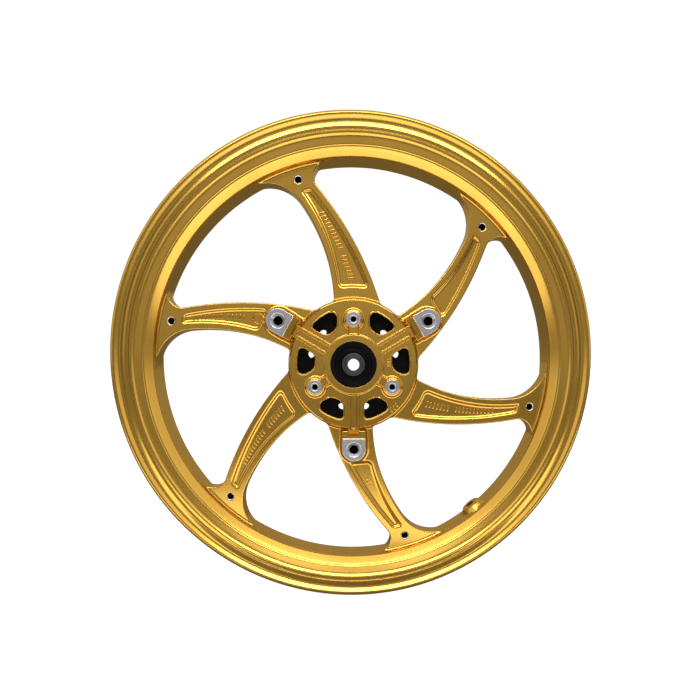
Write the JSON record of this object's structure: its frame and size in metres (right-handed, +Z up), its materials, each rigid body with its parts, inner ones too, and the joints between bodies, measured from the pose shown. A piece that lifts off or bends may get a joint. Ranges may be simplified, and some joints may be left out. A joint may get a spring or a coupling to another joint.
{
  "type": "motorcycle wheel",
  "caption": "Forged spoked rear wheel with tyre rim, cushioned drive hub, sealed ball bearings, disc pads and a through axle bore.",
  "frame": {"origin": "centre of the axle bore on the rim's middle plane", "axes": "Y along the axle with the disc side facing -Y, +Z up, +X to the right seen from the disc side"},
  "size_m": [0.462, 0.066, 0.462],
  "materials": {
    "forged_gold": "satin metallic gold paint over forged aluminium, bare machined faces on the bolt pads",
    "cush_rubber": "matt moulded black rubber",
    "seal_rubber": "smooth black nitrile rubber",
    "bearing_steel": "ground bearing steel",
    "cage_brass": "machined brass",
    "shield_steel": "pressed steel",
    "collar_steel": "turned steel, black oxide"
  },
  "bodies": {
    "axle_core": {"axle_collar_right": "collar_steel", "axle_collar_left": "collar_steel", "bearing_spacer": "collar_steel", "inner_race_right": "bearing_steel", "inner_race_left": "bearing_steel"},
    "wheel": {"rim": "forged_gold", "spoke_1": "forged_gold", "spoke_2": "forged_gold", "spoke_3": "forged_gold", "spoke_4": "forged_gold", "spoke_5": "forged_gold", "spoke_6": "forged_gold", "hub": "forged_gold", "cush_damper_1": "cush_rubber", "cush_damper_2": "cush_rubber", "cush_damper_3": "cush_rubber", "cush_damper_4": "cush_rubber", "cush_damper_5": "cush_rubber", "cush_damper_6": "cush_rubber", "outer_race_right": "bearing_steel", "outer_shield_right": "shield_steel", "inner_shield_right": "shield_steel", "dust_seal_right": "seal_rubber", "outer_race_left": "bearing_steel", "outer_shield_left": "shield_steel", "inner_shield_left": "shield_steel", "dust_seal_left": "seal_rubber"},
    "balls_right": {"ball_set_right": "bearing_steel", "ball_cage_right": "cage_brass"},
    "balls_left": {"ball_set_left": "bearing_steel", "ball_cage_left": "cage_brass"}
  },
  "joints": [
    {"name": "wheel_spin", "type": "hinge", "parent": "axle_core", "child": "wheel", "pos_m": [0, 0, 0], "axis": [0, -1, 0], "continuous": true},
    {"name": "balls_right_roll", "type": "hinge", "parent": "axle_core", "child": "balls_right", "pos_m": [0, -0.019, 0], "axis": [0, -1, 0], "continuous": true},
    {"name": "balls_left_roll", "type": "hinge", "parent": "axle_core", "child": "balls_left", "pos_m": [0, 0.019, 0], "axis": [0, -1, 0], "continuous": true}
  ],
  "couplings": [
    {"joint": "balls_right_roll", "follows": "wheel_spin", "ratio": 0.6214},
    {"joint": "balls_left_roll", "follows": "wheel_spin", "ratio": 0.6214}
  ]
}
